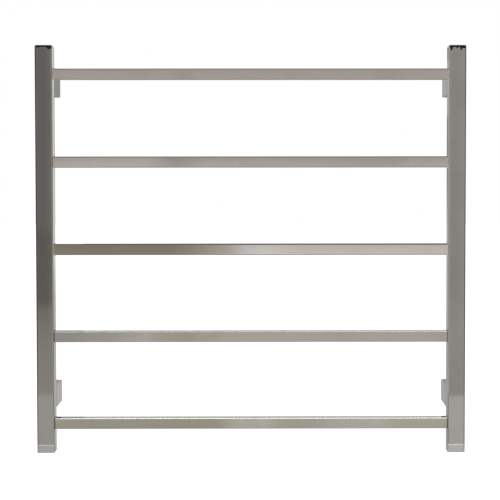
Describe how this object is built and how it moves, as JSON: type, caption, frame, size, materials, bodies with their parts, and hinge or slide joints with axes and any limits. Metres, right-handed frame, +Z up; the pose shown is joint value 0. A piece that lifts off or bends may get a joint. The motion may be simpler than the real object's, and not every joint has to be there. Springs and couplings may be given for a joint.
{
  "type": "heated towel rack",
  "caption": "Wall-mounted electric towel warmer: a ladder of square steel bars between two square posts, on hollow legs that slide over wall bases.",
  "frame": {"origin": "on the wall, in the middle of the four wall screws", "axes": "+Z up, +X to the right as seen from the room, +Y into the wall, so the front faces -Y"},
  "size_m": [0.62, 0.085, 0.59],
  "materials": {
    "polished_steel": "mirror-polished stainless steel",
    "satin_steel": "satin stainless steel",
    "base_metal": "machined stainless steel",
    "screw_steel": "plain stainless steel",
    "grommet_rubber": "matt black rubber",
    "cable_silicone": "red-brown silicone sheath",
    "lead_sheath": "white heat-resisting sheath",
    "cutout_metal": "drawn can",
    "boot_sleeve": "black shrunk sleeve",
    "block_plastic": "white polyamide",
    "terminal_brass": "plain brass",
    "earth_insulation": "green and yellow insulation"
  },
  "bodies": {
    "wall_bases": {"wall_base_top_left": "base_metal", "wall_base_bottom_left": "base_metal", "wall_base_top_right": "base_metal", "wall_base_bottom_right": "base_metal", "cable_grommet": "grommet_rubber"},
    "rack": {"left_post": "polished_steel", "right_post": "polished_steel", "bar_1": "polished_steel", "bar_2": "polished_steel", "bar_3": "polished_steel", "bar_4": "polished_steel", "bar_5": "polished_steel", "top_cap_left": "polished_steel", "top_cap_right": "polished_steel", "leg_top_left": "polished_steel", "leg_bottom_left": "polished_steel", "leg_top_right": "polished_steel", "leg_bottom_right": "polished_steel", "bottom_cap_left": "satin_steel", "bottom_cap_right": "satin_steel", "heating_cable": "cable_silicone", "cold_lead": "lead_sheath", "thermal_cutout": "cutout_metal", "lead_boot": "boot_sleeve", "cable_boot": "boot_sleeve", "end_seal": "boot_sleeve", "terminal_block": "block_plastic", "terminal_screws": "terminal_brass", "earth_stud": "screw_steel", "earth_nut": "screw_steel", "earth_tag": "terminal_brass", "earth_wire": "earth_insulation"},
    "grub_top_left": {"grub_screw_top_left": "screw_steel"},
    "grub_bottom_left": {"grub_screw_bottom_left": "screw_steel"},
    "grub_top_right": {"grub_screw_top_right": "screw_steel"},
    "grub_bottom_right": {"grub_screw_bottom_right": "screw_steel"}
  },
  "joints": [
    {"name": "rack_slide_off", "type": "slide", "parent": "wall_bases", "child": "rack", "axis": [0, -1, 0], "range_m": [0, 0.016]},
    {"name": "grub_top_left_turn_out", "type": "slide", "parent": "rack", "child": "grub_top_left", "axis": [0, 0, -1], "range_m": [0, 0.0024]},
    {"name": "grub_bottom_left_turn_out", "type": "slide", "parent": "rack", "child": "grub_bottom_left", "axis": [0, 0, -1], "range_m": [0, 0.0024]},
    {"name": "grub_top_right_turn_out", "type": "slide", "parent": "rack", "child": "grub_top_right", "axis": [0, 0, -1], "range_m": [0, 0.0024]},
    {"name": "grub_bottom_right_turn_out", "type": "slide", "parent": "rack", "child": "grub_bottom_right", "axis": [0, 0, -1], "range_m": [0, 0.0024]}
  ]
}
